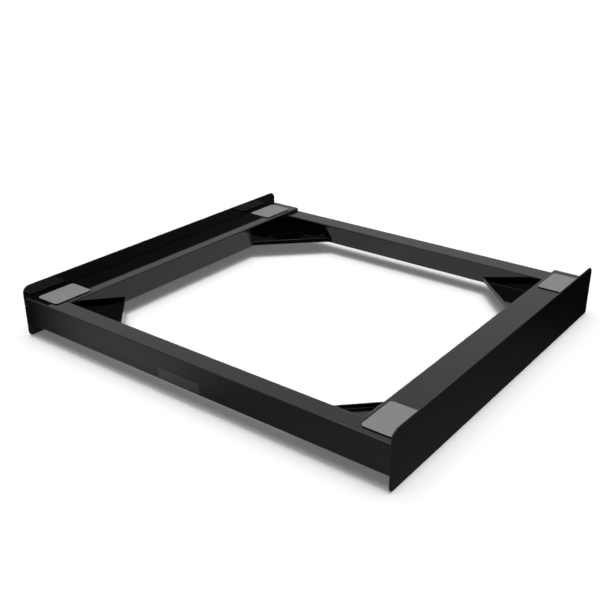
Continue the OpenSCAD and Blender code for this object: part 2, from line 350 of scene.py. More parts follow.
def cutter_of(boxes=(), holes=()):
    """Object that cuts boxes and round holes.

    A box is two opposite corners. A hole is its middle, axis, radius, depth and segments.
    """
    bm = bmesh.new()
    for a, b in boxes:
        a, b = Vector(a), Vector(b)
        place = Matrix.Translation((a + b) / 2) @ Matrix.Diagonal(b - a).to_4x4()
        bmesh.ops.create_cube(bm, size=1, matrix=place)
    for middle, axis, radius, depth, segments in holes:
        turn = Z_AXIS.rotation_difference(axis).to_matrix().to_4x4()
        bmesh.ops.create_cone(
            bm, cap_ends=True, segments=segments, radius1=radius, radius2=radius, depth=depth,
            matrix=Matrix.Translation(middle) @ turn)
    return body("cutter", bm)


def settle(thing):
    """Replaces an object's mesh by what its modifiers make of it."""
    graph = bpy.context.evaluated_depsgraph_get()
    mesh = bpy.data.meshes.new_from_object(thing.evaluated_get(graph))
    thing.modifiers.clear()
    thing.data = mesh
    mesh.name = thing.name


def shade(mesh):
    """Shades a mesh smooth across its folds and flat across its edges."""
    mesh.shade_smooth()
    mesh.set_sharp_from_angle(angle=SHARP_ANGLE)


def finished(thing, edge=0.0, cutter=None, segments=3):
    """Rounds the sharp edges, cuts the holes, and shades flats flat and folds smooth."""
    if edge:
        assign(thing.modifiers.new("Edges", "BEVEL"), limit_method="ANGLE", angle_limit=SHARP_ANGLE,
               width=edge, segments=segments, use_clamp_overlap=False)
    if cutter:
        assign(thing.modifiers.new("Holes", "BOOLEAN"), operation="DIFFERENCE", solver="EXACT",
               object=cutter)
    settle(thing)
    if cutter:
        bpy.data.objects.remove(cutter)
    shade(thing.data)
    assign(thing.modifiers.new("Shading", "WEIGHTED_NORMAL"), keep_sharp=True)
    settle(thing)
    return thing


def slot_material(slot):
    """The material of a slot."""
    return made_once(bpy.data.materials, SLOTS[slot])


def fit_piece(thing, node, slot):
    """Puts a finished piece, with its slot's material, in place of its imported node."""
    thing.data.materials.clear()
    thing.data.materials.append(slot_material(slot))
    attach(thing, BODY)
    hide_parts(node)


# Node helpers

def feed(node, inputs):
    """Sets a node's inputs by name or number. Another node's output is linked instead."""
    for key, value in inputs.items():
        if isinstance(value, bpy.types.NodeSocket):
            node.id_data.links.new(value, node.inputs[key])
        else:
            node.inputs[key].default_value = value


def add(tree, kind, inputs=None, **values):
    """Adds a node with its attributes set and its inputs fed."""
    node = assign(tree.nodes.new(kind), **values)
    feed(node, inputs or {})
    return node


def maths(tree, operation, *inputs, **values):
    """Result of a maths node."""
    node = add(tree, "ShaderNodeMath", dict(enumerate(inputs)), operation=operation, **values)
    return node.outputs[0]


def spread(tree, value, start, stop, low=0.0, high=1.0, **values):
    """Stretches a value from one range to another."""
    node = add(
        tree, "ShaderNodeMapRange",
        {"Value": value, "From Min": start, "From Max": stop, "To Min": low, "To Max": high},
        **values)
    return node.outputs["Result"]


def object_place(tree):
    """The object's own coordinates."""
    return add(tree, "ShaderNodeTexCoord").outputs["Object"]


def node_group(name, kind, inputs, output):
    """Empty node group with one output. inputs maps each name to its socket type."""
    tree = bpy.data.node_groups.new(name, kind)
    for label, socket in inputs.items():
        tree.interface.new_socket(label, in_out="INPUT", socket_type=f"NodeSocket{socket}")
    tree.interface.new_socket("Result", in_out="OUTPUT", socket_type=f"NodeSocket{output}")
    return tree, tree.nodes.new("NodeGroupInput").outputs, tree.nodes.new("NodeGroupOutput")


def noise(tree, entry, **inputs):
    """Noise whose features have the size that a group is given."""
    scale = maths(tree, "DIVIDE", 1.0, entry["Size"])
    node = add(tree, "ShaderNodeTexNoise", {"Vector": entry["Place"], "Scale": scale, **inputs})
    return node.outputs["Fac"]


def fine_grain(name):
    """Fine even grain, as on rubber, foam and moulded plastic."""
    tree, entry, leave = node_group(
        name, "ShaderNodeTree", {"Place": "Vector", "Size": "Float", "Contrast": "Float"}, "Float")
    grain = noise(tree, entry, Detail=2, Roughness=0.55)
    low = maths(tree, "SUBTRACT", 0.5, entry["Contrast"])
    high = maths(tree, "ADD", 0.5, entry["Contrast"])
    feed(leave, {"Result": spread(tree, grain, low, high)})
    return tree


def handling_patches(name):
    """Soft uneven patches, as handling and cleaning leave on a finish."""
    tree, entry, leave = node_group(
        name, "ShaderNodeTree", {"Place": "Vector", "Size": "Float"}, "Float")
    patches = noise(tree, entry, Detail=4, Roughness=0.6, Distortion=0.3)
    soft = spread(tree, patches, 0.35, 0.7, interpolation_type="SMOOTHSTEP")
    feed(leave, {"Result": soft})
    return tree


def mask(tree, build, **inputs):
    """Result of a shared shader group in a material."""
    shared = made_once(bpy.data.node_groups, build)
    place = {"Place": object_place(tree)}
    return add(tree, "ShaderNodeGroup", place | inputs, node_tree=shared).outputs["Result"]


# Materials

def new_material(name):
    """A material with its node tree and its surface shader."""
    material = bpy.data.materials.new(name)
    material.use_nodes = True
    return material, material.node_tree, material.node_tree.nodes["Principled BSDF"]


def varied(name, tone, gains, roughness, grain, contrast, bump, patches=0, blotchy=False,
           specular=0.5, **inputs):
    """Material whose colour, roughness and height vary a little over its surface.

    tone names its colour in the settings. gains are the colour's lowest and highest gain, and
    roughness its lowest and highest value. grain, bump and patches are sizes in millimetres. The
    grain moves all three. Patches take over the roughness, and the colour too where it is blotchy.
    """
    material, tree, surface = new_material(name)
    fine = mask(tree, fine_grain, Size=grain * MM, Contrast=contrast)
    rough = mask(tree, handling_patches, Size=patches * MM) if patches else fine
    base = getattr(group("finishes"), tone)
    dark, light = [(*(min(1, c * gain) for c in base), 1) for gain in gains]
    mix = add(tree, "ShaderNodeMix", {"Factor": rough if blotchy else fine, "A": dark, "B": light},
              data_type="RGBA")
    raised = add(tree, "ShaderNodeBump", {"Strength": 1.0, "Distance": bump * MM, "Height": fine})
    feed(surface, {
        "Base Color": mix.outputs["Result"], "Roughness": spread(tree, rough, 0, 1, *roughness),
        "Normal": raised.outputs["Normal"], "Specular IOR Level": specular, **inputs})
    return material


def gloss_black_paint(name):
    """Smooth high-gloss black coating with a faint orange peel and a trace of handling."""
    looks = group("finishes")
    rough = looks.paint_roughness
    return varied(name, "paint", (1, 1.12), (0.85 * rough, 1.3 * rough), grain=3.5, contrast=0.35,
                  bump=0.0012, patches=70, IOR=looks.paint_ior)


def grip_face(name):
    """Mid grey anti-slip face with a fine dark and light speckle."""
    return varied(name, "grip", (0.72, 1.3), (0.7, 0.7), grain=0.9, contrast=0.16, bump=0.06,
                  specular=0.35)


def foam_backing(name):
    """Closed-cell black adhesive foam."""
    return varied(name, "foam", (1, 1.8), (0.75, 0.95), grain=0.3, contrast=0.2, bump=0.05,
                  specular=0.3)


def foot_rubber(name):
    """Matte black rubber with dust in its patches."""
    return varied(name, "rubber", (1, 1.7), (0.55, 0.8), grain=0.5, contrast=0.2, bump=0.03,
                  patches=12, blotchy=True, specular=0.4)


def plated(name, tone, roughness):
    """Plated steel with a patchy sheen and a fine grain."""
    return varied(name, tone, (0.82, 1.08), roughness, grain=0.4, contrast=0.3, bump=0.006,
                  patches=6, blotchy=True, Metallic=1.0)


def bright_zinc(name):
    """Steel of the screws, nuts and brackets."""
    return plated(name, "zinc", (0.22, 0.38))


def copper_flash(name):
    """Steel of the weld studs."""
    return plated(name, "copper", (0.28, 0.45))


def black_plastic(name):
    """Gloss black moulded plastic with a very fine grain."""
    return varied(name, "plastic", (1, 1.3), (0.1, 0.18), grain=0.5, contrast=0.3, bump=0.004,
                  patches=30)


def satin_charcoal(name):
    """Satin charcoal coating of the blank name plate."""
    return varied(name, "badge", (1, 1.2), (0.26, 0.32), grain=0.4, contrast=0.35, bump=0.002,
                  patches=15)


SLOTS = {
    "gloss_black": gloss_black_paint, "pad_grey": grip_face, "pad_backing": foam_backing,
    "foot_rubber": foot_rubber, "zinc": bright_zinc, "copper_flash": copper_flash,
    "black_plastic": black_plastic, "plate_satin": satin_charcoal}


# Steel parts

def channel_skins(width, height, lean):
    """Outer and inner skin of an open channel: u from its outer wall to its inner wall, v up.

    The inner wall's top lies nearer to the outer wall by the lean, as its fold springs back.
    """
    sizes = group("sheet")
    r, flange = sizes.fold, sizes.flange

    def skin(inset):
        small = r - inset
        return ([(flange, inset)] + arc(r, r, small, 270, 180)
                + arc(r, height - r, small, 180, 90)
                + arc(width - lean - r, height - r, small, 90, 0)
                + arc(width - r, r, small, 0, -90) + [(width - flange, inset)])
    return skin(0), skin(sizes.sheet)


def corner_frame(side, end):
    """Matrix that puts a shape drawn on an inner corner, legs along +X and +Y, at a corner."""
    corner_y = FRONT_HIGH.y if end < 0 else BACK_LOW.y
    flip = Matrix.Diagonal((-side, -end, 1, 1))
    return Matrix.Translation((side * SIDE_LOW.x, corner_y, 0)) @ flip


def leg_frames(side, end):
    """Two matrices that put a shape drawn along +X at each leg of a corner."""
    place = corner_frame(side, end)
    swap = Matrix(((0, 1, 0, 0), (1, 0, 0, 0), (0, 0, 1, 0), (0, 0, 0, 1)))
    return place, place @ swap


def tongue_middle():
    """Distance of a tongue's middle from the inner corner."""
    sizes = group("sheet")
    return sizes.tray_leg - sizes.tongue_end - sizes.tongue / 2


def screw_points():
    """Every place of a tray screw, on the underside of the rails' flanges."""
    sizes = group("sheet")
    inward = (sizes.sheet + sizes.flange) / 2
    points = []
    for _, side, end in CORNERS:
        for leg in leg_frames(side, end):
            for step in (-0.5, 0.5):
                along = tongue_middle() + step * sizes.screw_pitch
                points.append(leg @ Vector((along, -inward, SIDE_LOW.z)))
    return points


def screw_holes(depth):
    """Holes of the tray screws."""
    radius = group("fasteners").screw / 2 + group("sheet").fit
    return [(point, Z_AXIS, radius, depth, HOLE_SEGMENTS) for point in screw_points()]


def rail_cutter(more_holes=()):
    """Cutter of the slots and screw holes that the trays need in the rails."""
    sizes = group("sheet")
    half = sizes.tongue / 2 + sizes.fit
    floor, top = TRAY_LOW.z, TRAY_LOW.z + sizes.tray + sizes.fit
    slots = []
    for _, side, end in CORNERS:
        for leg in leg_frames(side, end):
            slots.append((leg @ Vector((tongue_middle() - half, -sizes.sheet - sizes.fit, floor)),
                          leg @ Vector((tongue_middle() + half, sizes.fit, top))))
    return cutter_of(slots, [*screw_holes(2.4 * sizes.sheet), *more_holes])


def stud_points(side):
    """Where the weld studs stand on a side plate: along the side rail, then in the front rail."""
    parts = group("fasteners")
    first = SIDE_LOW.y + parts.stud_end
    last = SIDE_HIGH.y - parts.stud_end
    ys = [first + (last - first) * i / (parts.stud_count - 1) for i in range(parts.stud_count)]
    ys.append((BRACKET_LOW.y + BRACKET_HIGH.y) / 2)
    return [Vector((side * PLATE_LOW.x, y, (SIDE_LOW.z + SIDE_HIGH.z) / 2)) for y in ys]


def stud_holes(side):
    """Holes of the weld studs in a side rail's outer wall or an end bracket."""
    radius = group("fasteners").stud_foot / 2 + STUD_CLEARANCE
    return [(point, X_AXIS, radius, STUD_HOLE_DEPTH, STUD_SEGMENTS) for point in stud_points(side)]


def side_plate(label, side):
    """Tall flat sheet with large top corners, small bottom corners and soft edges."""
    sizes = group("sheet")
    foot, top, heel = sizes.plate_foot, sizes.plate_top, sizes.plate_heel
    plate = slab(
        f"side_plate_{label}",
        rounded_outline(PLATE_LOW.yz, PLATE_HIGH.yz, (foot, top, top, heel), PLATE_STEPS),
        lambda u, v, depth: (side * depth, u, v), PLATE_LOW.x, PLATE_HIGH.x)
    return finished(plate, sizes.plate_edge, segments=5)


def side_rail(label, side):
    """Open channel along a side plate, with its stud holes and tray slots."""
    sizes = group("sheet")
    width, height = SIDE_HIGH.x - SIDE_LOW.x, SIDE_HIGH.z - SIDE_LOW.z
    rail = folded_sheet(
        f"side_rail_{label}", *channel_skins(width, height, sizes.side_lean),
        lambda u, v, depth: (side * (SIDE_HIGH.x - u), depth, SIDE_LOW.z + v),
        SIDE_LOW.y, SIDE_HIGH.y)
    return finished(rail, sizes.edge, rail_cutter(stud_holes(side)))


def back_rail():
    """Open channel at the back, its ends cut to the slant of the side rails' inner walls."""
    sizes = group("sheet")
    low, high = BACK_LOW, BACK_HIGH
    slant = sizes.side_lean / (SIDE_HIGH.z - SIDE_LOW.z) / high.x
    rail = folded_sheet(
        "cross_rail_back", *channel_skins(high.y - low.y, high.z - low.z, sizes.back_lean),
        lambda u, v, depth: (depth * (1 + slant * v), high.y - u, low.z + v), low.x, high.x)
    return finished(rail, sizes.edge, rail_cutter())


def front_rail():
    """Open channel whose face runs on past its top and is folded back on itself."""
    sizes = group("sheet")
    low, high = FRONT_LOW, FRONT_HIGH
    t, rise = sizes.sheet, sizes.upturn
    height = high.z - low.z - rise
    outer, inner = channel_skins(high.y - low.y, height, 0)
    # The upturned edge takes the place of the fold between the face and the top
    root = 0.3 * t
    fold = FOLD_STEPS + 1
    outer[1 + fold:1 + 2 * fold] = (
        arc(t, height + rise - t, t, 180, 0, 2 * FOLD_STEPS)
        + arc(2 * t + root, height + root, root, 180, 270, 3))
    rail = slab("cross_rail_front", outer + inner[::-1],
                lambda u, v, depth: (depth, low.y + u, low.z + v), low.x, high.x)
    return finished(rail, sizes.edge, rail_cutter())


def corner_tray(label, side, end):
    """Triangular floor with a lip folded up along its open edge and a tongue on each leg."""
    sizes = group("sheet")
    t, near, far = sizes.tray, sizes.fit, sizes.tray_leg
    thin, r, tall = sizes.sheet, sizes.fold, TRAY_HIGH.z - TRAY_LOW.z
    diagonal = math.sqrt(2)
    # The fold's two skins as (distance in from the open edge, height)
    bend = thin + sizes.coat
    under = arc(r, r, r, 270, 180)[1:] + [(0, tall)]
    upper = arc(bend, t + bend - thin, bend - thin, 270, 180)[1:] + [(thin, tall)]
    first, last = tongue_middle() - sizes.tongue / 2, tongue_middle() + sizes.tongue / 2
    reach = -(sizes.flange - 2 * sizes.fit)
    leg_end = far - bend * diagonal
    leg = [(first, near), (first, reach), (last, reach), (last, near), (leg_end, near)]
    outline = [(near, near)] + leg + [(y, x) for x, y in reversed(leg)]
    bm = bmesh.new()
    floor = [[bm.verts.new((x, y, z)) for x, y in outline] for z in (0, t)]
    for ring in floor:
        bm.faces.new(ring)
    strip(bm, *floor)
    open_side = len(leg)
    (a, b), (c, d) = [ring[open_side:open_side + 2] for ring in floor]
    bm.faces.remove(bm.faces.get((a, b, d, c)))
    # From the open side, both skins go on up the lip, and faces at both ends close it
    for skins in zip(under, upper):
        (a1, b1), (c1, d1) = [
            [bm.verts.new((far - inward * diagonal, near, height)),
             bm.verts.new((near, far - inward * diagonal, height))] for inward, height in skins]
        for face in ((a, b, b1, a1), (c, d, d1, c1), (a, a1, c1, c), (b, b1, d1, d)):
            bm.faces.new(face)
        a, b, c, d = a1, b1, c1, d1
    bm.faces.new((a, b, d, c))
    bm.transform(corner_frame(side, end) @ Matrix.Translation((0, 0, TRAY_LOW.z)))
    tray = finished(body(f"corner_tray_{label}", bm), sizes.edge,
                    cutter_of(holes=screw_holes(8 * t)))
    return joined(tray.name, [tray, *seam_fillets(side, end, leg_end)])


def seam_fillets(side, end, reach):
    """Thin hollow-faced fillets of coating where a tray's floor meets its two rails."""
    sizes = group("sheet")
    near, r = sizes.fit, sizes.coat
    low = TRAY_LOW.z + sizes.tray
    profile = [(near, low)] + arc(near + r, low + r, r, 270, 180, 6)
    fillets = [
        slab("seam_fillet", profile, lambda u, v, depth: leg @ Vector((depth, u, v)),
             near + r, reach)
        for leg in leg_frames(side, end)]
    for fillet in fillets:
        shade(fillet.data)
    return fillets


def end_bracket(label, side):
    """Zinc-plated angle inside an end of the front rail."""
    sizes = group("sheet")
    t, r = sizes.sheet, sizes.fold
    leg = BRACKET_HIGH.x - BRACKET_LOW.x
    skins = [[(leg, inset)] + arc(r, r, r - inset, 270, 180) + [(inset, leg)] for inset in (0, t)]
    bracket = folded_sheet(
        f"angle_bracket_{label}", *skins,
        lambda u, v, depth: (side * (BRACKET_HIGH.x - u), depth, BRACKET_HIGH.z - v),
        BRACKET_LOW.y, BRACKET_HIGH.y)
    return finished(bracket, sizes.edge, cutter_of(holes=stud_holes(side)))


# Pads, caps and name plate

def flat_pad(name, low, high, edge, cutter=None, segments=4):
    """Sheet with round corners and softly rounded edges."""
    outline = rounded_outline(low.xy, high.xy, [group("pads").corner] * 4, CORNER_STEPS)
    pad = slab(name, outline, lambda u, v, depth: (u, v, depth), low.z, high.z)
    return finished(pad, edge, cutter, segments)


def foot_pad(name, low, high):
    """Thick rubber pad with grip grooves across its underside."""
    sizes = group("pads")
    pitch = (high.y - low.y) / (sizes.groove_count + 1)
    grooves = []
    for i in range(1, sizes.groove_count + 1):
        near, far = [low.y + i * pitch + half * sizes.groove for half in (-0.5, 0.5)]
        grooves.append(
            ((low.x - MM, near, low.z - MM), (high.x + MM, far, low.z + sizes.groove_depth)))
    return flat_pad(name, low, high, sizes.foot_edge, cutter_of(grooves), 3)


def rail_cap(label, side):
    """Plastic cap with a soft-edged face and a hollow plug inside the rail."""
    steel, sizes = group("sheet"), group("pads")
    low, high = CAP_LOW, CAP_HIGH
    face_y = high.y - sizes.cap_face
    slant = steel.side_lean / (high.z - low.z)
    middle = (low.x + high.x) / 2
    outline = [(u + slant * (v - low.z) * (u < middle), v) for u, v in
               rounded_outline(low.xz, high.xz, [steel.fold] * 4, FOLD_STEPS)]
    face = slab(f"rail_cap_{label}", outline, lambda u, v, depth: (side * u, depth, v),
                face_y, high.y)
    face = finished(face, sizes.cap_edge, segments=4)
    rings = []
    for wall, y in ((0, face_y), (0, low.y), (sizes.plug_wall, low.y), (sizes.plug_wall, face_y)):
        inset = steel.sheet + steel.fit + wall
        x0, x1 = low.x + steel.side_lean + inset, high.x - inset
        z0, z1 = low.z + inset, high.z - inset
        rings.append([(side * x, y, z) for x, z in ((x0, z0), (x1, z0), (x1, z1), (x0, z1))])
    plug = finished(hoops("plug", rings, closed=True), PLUG_EDGE, segments=2)
    return joined(face.name, [face, plug])


def name_plate():
    """Blank plate with a fine raised rim, stuck on the front rail."""
    sizes = group("pads")
    low, high = BADGE_LOW, BADGE_HIGH
    plate, field = [
        slab(name, rounded_outline(
            (low.x + rim, low.z + rim), (high.x - rim, high.z - rim),
            [sizes.badge_corner - rim] * 4, FOLD_STEPS),
            lambda u, v, depth: (u, depth, v), near, far)
        for name, rim, near, far in (
            ("blank_name_plate", 0, low.y, high.y),
            ("field", sizes.badge_rim, low.y - MM, low.y + (high.y - low.y) / 3))]
    return finished(plate, BADGE_EDGE, field)


# Fasteners

def thread(radius, pitch, low, high):
    """Rings of a plain thread between two heights, with a chamfered tip."""
    rings = []
    for i in range(int((high - low) / pitch) - 1):
        rings += [(radius, low + (i + THREAD_CREST) * pitch),
                  (radius - THREAD_DEPTH * pitch, low + (i + THREAD_ROOT) * pitch)]
    tip = THREAD_TIP * pitch
    return rings + [(radius, high - tip), (radius - tip, high)]


def tray_screw():
    """Button head screw with a hexagon socket, standing on the flange's underside."""
    parts = group("fasteners")
    head, tall, shank = parts.head / 2, parts.head_height, parts.screw / 2
    socket, depth = hexagon(parts.socket), -0.45 * tall
    dome = [(head * math.cos(a), -tall * (0.25 + 0.75 * math.sin(a)))
            for a in map(math.radians, range(60, -1, -12))]
    rings = [(0.2 * parts.socket, depth), (socket, depth), (socket, -tall), *dome, (head, 0)]
    rings += [(shank, 0), *thread(shank, parts.screw_thread, 0, parts.screw_length)]
    return turned("tray_screw_pattern", rings)


def hexagon_nut(across, height, bore, chamfer=0.12):
    """Rings of a nut's outside and its bore, from the bottom up and back down."""
    drop = across / 2 / math.cos(math.pi / 6) * chamfer
    inside = bore + BORE_CHAMFER
    return [(inside, 0), (hexagon(across, across / 2), 0), (hexagon(across), drop),
            (hexagon(across), height - drop), (hexagon(across, across / 2), height),
            (inside, height), (bore, height - BORE_CHAMFER), (bore, BORE_CHAMFER)]


def tray_nut():
    """Hexagon nut, chamfered at both ends."""
    parts = group("fasteners")
    rings = hexagon_nut(parts.nut, parts.nut_height, parts.screw / 2 + parts.play)
    return turned("tray_nut_pattern", rings, closed=True)


def flange_nut():
    """Hexagon nut with a round collar."""
    parts = group("fasteners")
    collar, tall = parts.collar / 2, parts.collar_height
    nut = hexagon_nut(parts.flange_nut, parts.flange_nut_height, parts.stud / 2 + parts.play)
    skirt = [(collar * 0.94, 0), (collar, 0.3 * tall), (collar, 0.7 * tall),
             (hexagon(parts.flange_nut), 1.3 * tall)]
    return turned("flange_nut_pattern", nut[:1] + skirt + nut[3:], STUD_SEGMENTS, True)


def weld_stud():
    """Threaded stud on a low round foot."""
    parts = group("fasteners")
    foot, tall, shank = parts.stud_foot / 2, parts.stud_foot_height, parts.stud / 2
    rings = [(foot, 0), (foot, tall * 0.75), (foot * 0.96, tall), (shank, tall)]
    rings += thread(shank, parts.stud_thread, tall, parts.stud_length)
    return turned("weld_stud_pattern", rings)


def fastener_copies(name):
    """Geometry nodes that stand a turned copy of a pattern on every point, as one mesh."""
    tree, entry, leave = node_group(
        name, "GeometryNodeTree",
        {"Geometry": "Geometry", "Pattern": "Object", "Tilt": "Vector", "Largest turn": "Float",
         "Seed": "Int", "Material": "Material"}, "Geometry")
    pattern = add(
        tree, "GeometryNodeObjectInfo", {"Object": entry["Pattern"]}, transform_space="ORIGINAL")
    chance = add(tree, "FunctionNodeRandomValue",
                 {"Max": entry["Largest turn"], "Seed": entry["Seed"]}, data_type="FLOAT")
    turn = add(tree, "ShaderNodeCombineXYZ", {"Z": chance.outputs["Value"]})
    stand = add(tree, "GeometryNodeInstanceOnPoints", {
        "Points": entry["Geometry"], "Instance": pattern.outputs["Geometry"],
        "Rotation": entry["Tilt"]})
    spin = add(tree, "GeometryNodeRotateInstances", {
        "Instances": stand.outputs["Instances"], "Rotation": turn.outputs["Vector"]})
    real = add(tree, "GeometryNodeRealizeInstances", {"Geometry": spin.outputs["Instances"]})
    paint = add(tree, "GeometryNodeSetMaterial", {
        "Geometry": real.outputs["Geometry"], "Material": entry["Material"]})
    feed(leave, {"Result": paint.outputs["Geometry"]})
    return tree


def fastener_row(points, pattern, tilt, seed, slot):
    """One object that holds a copy of the pattern at every point."""
    finished(pattern)
    row = point_object("fastener_row", points)
    tree = made_once(bpy.data.node_groups, fastener_copies)
    modifier = assign(row.modifiers.new("Fasteners", "NODES"), node_group=tree)
    values = {"Pattern": pattern, "Tilt": tilt, "Largest turn": math.tau, "Seed": seed,
              "Material": slot_material(slot)}
    for item in tree.interface.items_tree:
        if item.name in values:
            modifier[item.identifier] = values[item.name]
    settle(row)
    bpy.data.objects.remove(pattern)
    return row


# Studio

def studio_sheet(name, points, material):
    """Four-cornered sheet, part of the studio."""
    sheet = point_object(name, points, [(0, 1, 2, 3)])
    sheet.data.materials.append(material)
    return sheet


def level(low, high, height):
    """Corners of a level rectangle."""
    (x0, y0), (x1, y1) = low, high
    return [(x0, y0, height), (x1, y0, height), (x1, y1, height), (x0, y1, height)]


def white_floor():
    """Matte white floor that keeps the frame's shadow."""
    settings = group("studio")
    material, _, surface = new_material("studio_floor")
    feed(surface, {
        "Base Color": (*settings.floor, 1), "Roughness": 1.0, "Specular IOR Level": 0.0,
        "Emission Color": (1, 1, 1, 1), "Emission Strength": settings.floor_glow})
    corner = Vector((FLOOR_REACH, FLOOR_REACH))
    studio_sheet("studio_floor", level(-corner, corner, 0), material)


def gloss_sheet(name, points, tone):
    """Glowing sheet that only gloss sees, a painted reflection in the black paint. tone is a
    brightness, or makes a colour from a tree.
    """
    material, tree, _ = new_material(name)
    inputs = {"Color": tone(tree)} if callable(tone) else {"Strength": tone}
    glow = add(tree, "ShaderNodeEmission", inputs)
    feed(tree.nodes["Material Output"], {"Surface": glow.outputs["Emission"]})
    sheet = studio_sheet(name, points, material)
    for ray in ("camera", "diffuse", "transmission", "shadow", "volume_scatter"):
        setattr(sheet, f"visible_{ray}", False)


def gloss_card(name, low, high, axis, stops, fan=None, dim=1.0):
    """Glowing grey card on the floor that only gloss sees: a painted reflection, graded along the
    card.

    stops are (place along the axis in metres, brightness). With a fan, the places are those on the
    card's back edge, and lines of one brightness spread from that point. dim is the share of its
    brightness that the card keeps close to its back edge, a painted shade in the reflection.
    """
    def ramped(tree):
        split = add(tree, "ShaderNodeSeparateXYZ", {0: object_place(tree)}).outputs
        along, places = split[axis], [place for place, _ in stops]
        if fan:
            aside = maths(tree, "SUBTRACT", along, fan[0])
            away = maths(tree, "SUBTRACT", fan[1], split["Y"])
            along = maths(tree, "DIVIDE", aside, away)
            places = [(place - fan[0]) / (fan[1] - high[1]) for place in places]
        first, last = places[0], places[-1]
        ramp = add(tree, "ShaderNodeValToRGB", {"Fac": spread(tree, along, first, last)})
        marks = ramp.color_ramp.elements
        while len(marks) < len(stops):
            marks.new(0.5)
        for mark, place, (_, tone) in zip(marks, places, stops):
            mark.position = (place - first) / (last - first)
            mark.color = (tone, tone, tone, 1)
        near = spread(tree, split["Y"], high[1] - DIM_FROM, high[1] - DIM_TO, 1.0, dim)
        dimmed = add(tree, "ShaderNodeVectorMath", {0: ramp.outputs["Color"], "Scale": near},
                     operation="SCALE")
        return dimmed.outputs["Vector"]
    gloss_sheet(name, level(low, high, CARD_HEIGHT), ramped)


def flag(name, ends, low, high, tone):
    """Small upright glowing card between two points in plan, which only gloss sees: a painted
    reflection.
    """
    foot = [(x, y, low) for x, y in ends]
    gloss_sheet(name, foot + [(x, y, high) for x, y in reversed(ends)], tone)


def lip_flag(name, side, tone):
    """Upright glowing card just in front of a back tray's lip, which paints the reflection in the
    lip's outer face.
    """
    reach = group("sheet").tray_leg + LIP_GAP * math.sqrt(2)
    ends = [corner_frame(side, 1) @ Vector((x, y, 0)) for x, y in ((reach, MM), (MM, reach))]
    flag(name, [end.xy for end in ends], TRAY_LOW.z - 3 * MM, TRAY_HIGH.z - 0.2 * MM, tone)


def plate_flag(name, side, rise, tone):
    """Dark upright card on a side plate's top edge, a painted reflection that makes the plate look
    taller in its rail's gloss.
    """
    middle = side * (PLATE_LOW.x + PLATE_HIGH.x) / 2
    reach = PLATE_HIGH.y - group("sheet").plate_top
    flag(name, [(middle, -reach), (middle, reach)], PLATE_HIGH.z, PLATE_HIGH.z + rise, tone)


def gloss_cards():
    """Painted reflections that only gloss sees: graded cards round the frame and one inside it along
    the left side rail, and upright cards at the back trays' lips and the left plate.
    """
    x, y = PLATE_HIGH.xy
    far = CARD_REACH
    gloss_card("card_front", (-far, -far), (far, -y), "X",
               [(-0.29, 0.06), (-0.265, 0.17), (-0.23, 0.35), (-0.2, 0.49), (-0.17, 0.56),
                (-0.134, 0.6), (-0.098, 0.61), (-0.074, 0.59), (-0.05, 0.53), (-0.02, 0.4),
                (0.004, 0.31), (0.022, 0.26), (0.058, 0.245), (0.094, 0.26), (0.148, 0.315),
                (0.209, 0.35)], fan=(-0.005, -0.09), dim=0.72)
    gloss_card("card_right", (x, -y), (far, far), "Y",
               [(-0.22, 0.098), (0.1, 0.043), (0.21, 0.02), (0.3, 0.01)])
    gloss_card("card_left", (-far, -y), (-x, far), "Y", [(-0.22, 0.1), (0.3, 0.012)])
    gloss_card("card_back", (-x, y), (x, far), "X", [(-0.3, 0.1), (0.3, 0.1)])
    gloss_card("card_inside", (-SIDE_LOW.x, FRONT_HIGH.y), (-0.1, BACK_LOW.y), "X",
               [(-0.245, 0.87), (-0.15, 0.87), (-0.1, 1.0)])
    # Painted reflections in the back trays' lips: near black at the left, mid grey at the right
    lip_flag("flag_left", -1, 0.04)
    lip_flag("flag_right", 1, 0.56)
    # Painted dark reflection of a taller left plate in the left rail's top
    plate_flag("flag_plate", -1, 1.7 * MM, 0.03)


def studio_world():
    """White for the camera, a softer pale wall for gloss, and an even fill for the rest."""
    settings = group("studio")
    world = bpy.data.worlds.new("studio")
    bpy.context.scene.world = world
    world.use_nodes = True
    tree = world.node_tree
    ray = add(tree, "ShaderNodeLightPath").outputs
    place = add(tree, "ShaderNodeTexCoord").outputs["Generated"]
    up = add(tree, "ShaderNodeSeparateXYZ", {0: place}).outputs["Z"]
    wall = maths(tree, "MULTIPLY_ADD", up, settings.sky_rise, settings.sky_low, use_clamp=True)
    gloss = add(
        tree, "ShaderNodeMix", {"Factor": ray["Is Glossy Ray"], "A": settings.fill, "B": wall})
    camera = add(tree, "ShaderNodeMix", {
        "Factor": ray["Is Camera Ray"], "A": gloss.outputs["Result"], "B": 1.0})
    feed(tree.nodes["Background"], {"Color": (1, 1, 1, 1), "Strength": camera.outputs["Result"]})


def overhead_lights():
    """A smaller and a wider soft light straight above the frame."""
    settings = group("studio")
    for name, energy, width in (("overhead_key", settings.key, settings.key_angle),
                                ("overhead_soft", settings.soft, settings.soft_angle)):
        lamp = bpy.data.lights.new(name, "SUN")
        new_object(name, assign(lamp, energy=energy, angle=width, specular_factor=0.0))


def studio_camera():
    """Camera that looks down on the frame from its front right corner."""
    settings = group("studio")
    a, e = settings.azimuth, settings.elevation
    back = Vector((math.sin(a) * math.cos(e), -math.cos(a) * math.cos(e), math.sin(e)))
    lens = assign(bpy.data.cameras.new("camera"), lens=LENS, sensor_width=SENSOR)
    bpy.context.scene.camera = assign(
        new_object("camera", lens), location=Vector(settings.target) + settings.distance * back,
        rotation_euler=(-back).to_track_quat("-Z", "Y").to_euler())


# Operators

